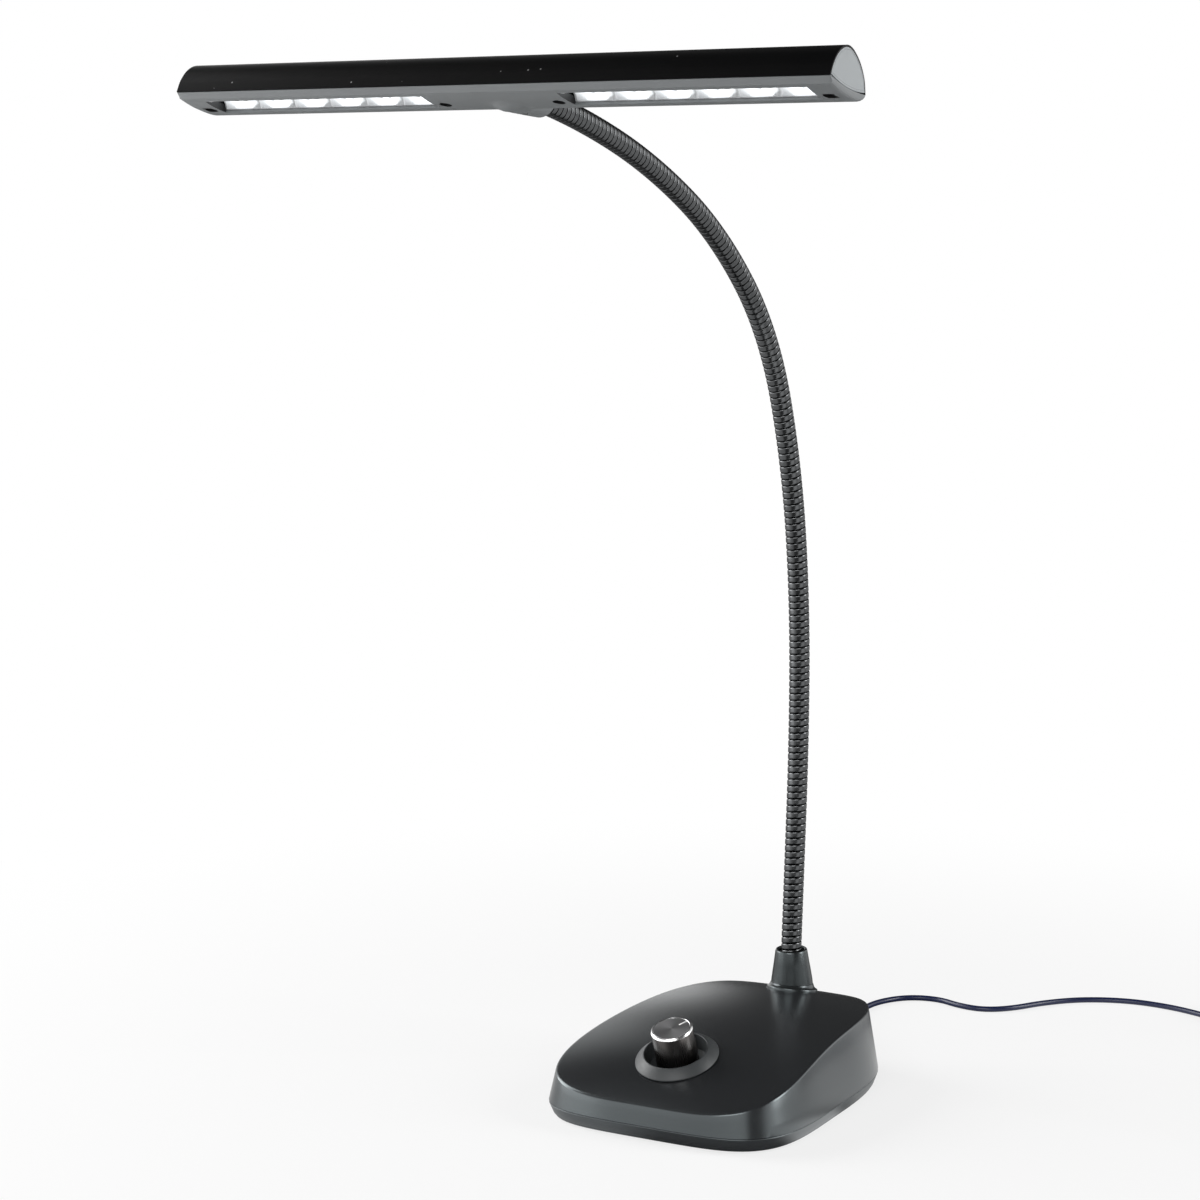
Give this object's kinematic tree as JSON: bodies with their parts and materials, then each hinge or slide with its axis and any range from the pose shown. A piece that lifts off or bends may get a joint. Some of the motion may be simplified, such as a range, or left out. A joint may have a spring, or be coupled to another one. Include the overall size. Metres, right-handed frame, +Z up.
{
  "type": "piano lamp",
  "caption": "Flexible-neck piano lamp with a wide two-window light head and a dimmer knob on a wedge-shaped weighted base.",
  "frame": {"origin": "on the table, under the middle of the base", "axes": "+Z up, +X along the light head, -Y towards the player"},
  "size_m": [0.4413, 0.5061, 0.4868],
  "materials": {
    "housing": "satin",
    "pad_rubber": "matte",
    "ballast_iron": "rough",
    "steel": "plated",
    "board": "satin",
    "components": "gloss",
    "bezel_metal": "dark satin plating",
    "dimmer_case": "plated",
    "knob_metal": "dark polished plating",
    "knob_face": "brushed, dark",
    "pointer_white": "gloss",
    "neck_coating": "satin black",
    "socket_coating": "satin black",
    "cover_black": "satin",
    "tray_grey": "satin",
    "cap_grey": "satin",
    "lens_clear": "clear",
    "reflector_white": "gloss",
    "light_board": "satin",
    "light_emitter": "gloss",
    "heat_aluminium": "plain",
    "black_plastic": "satin",
    "cord_sheath": "satin",
    "pins_metal": "plated"
  },
  "bodies": {
    "base": {"base_cover": "housing", "base_pan": "housing", "base_pad": "pad_rubber", "ballast_plate": "ballast_iron", "case_screws": "steel", "ballast_screws": "steel", "board_screws": "steel", "board_spacers": "steel", "dimmer_nut": "steel", "socket_washer": "steel", "socket_nut": "steel", "driver_board": "board", "driver_parts": "components", "dimmer_bezel": "bezel_metal", "dimmer_body": "dimmer_case", "neck_section_0": "neck_coating", "neck_socket": "socket_coating", "cord_gland": "black_plastic", "adapter_relief": "black_plastic", "adapter_body": "black_plastic", "supply_cord": "cord_sheath", "cord_coil": "cord_sheath", "adapter_pins": "pins_metal"},
    "knob": {"knob_body": "knob_metal", "knob_disc": "knob_face", "knob_pointer": "pointer_white", "knob_grub_screw": "steel", "dimmer_shaft": "steel"},
    "neck_1": {"neck_section_1": "neck_coating"},
    "neck_2": {"neck_section_2": "neck_coating"},
    "neck_3": {"neck_section_3": "neck_coating"},
    "neck_4": {"neck_section_4": "neck_coating"},
    "neck_5": {"neck_section_5": "neck_coating"},
    "neck_6": {"neck_section_6": "neck_coating"},
    "head": {"neck_section_7": "neck_coating", "neck_ferrule": "steel", "neck_clamp_screw": "steel", "head_cover": "cover_black", "head_tray": "tray_grey", "end_cap_right": "cap_grey", "end_cap_left": "cap_grey", "lens_left": "lens_clear", "lens_right": "lens_clear", "reflector_left": "reflector_white", "reflector_right": "reflector_white", "led_board_left": "light_board", "led_board_right": "light_board", "leds_left": "light_emitter", "leds_right": "light_emitter", "heat_strip_left": "heat_aluminium", "heat_strip_right": "heat_aluminium", "head_screws": "steel"}
  },
  "joints": [
    {"name": "knob_turn", "type": "hinge", "parent": "base", "child": "knob", "pos_m": [0, -0.04965, 0.03172], "axis": [0, -0.342, 0.9397], "range_deg": [-125, 175]},
    {"name": "neck_nod_1", "type": "hinge", "parent": "base", "child": "neck_1", "pos_m": [0, 0.07075, 0.12866], "axis": [1, 0, 0], "range_deg": [-25, 25]},
    {"name": "neck_sway_2", "type": "hinge", "parent": "neck_1", "child": "neck_2", "pos_m": [0, 0.0728, 0.19782], "axis": [0, 1, 0.0035], "range_deg": [-25, 25]},
    {"name": "neck_nod_3", "type": "hinge", "parent": "neck_2", "child": "neck_3", "pos_m": [0, 0.06773, 0.26678], "axis": [1, 0, 0], "range_deg": [-25, 25]},
    {"name": "neck_sway_4", "type": "hinge", "parent": "neck_3", "child": "neck_4", "pos_m": [0, 0.05062, 0.33369], "axis": [0, 0.9367, 0.3502], "range_deg": [-25, 25]},
    {"name": "neck_nod_5", "type": "hinge", "parent": "neck_4", "child": "neck_5", "pos_m": [0, 0.01237, 0.3906], "axis": [1, 0, 0], "range_deg": [-25, 25]},
    {"name": "neck_sway_6", "type": "hinge", "parent": "neck_5", "child": "neck_6", "pos_m": [0, -0.04443, 0.42972], "axis": [0, 0.4446, 0.8957], "range_deg": [-25, 25]},
    {"name": "neck_nod_7", "type": "hinge", "parent": "neck_6", "child": "head", "pos_m": [0, -0.10868, 0.45522], "axis": [1, 0, 0], "range_deg": [-25, 25]}
  ]
}
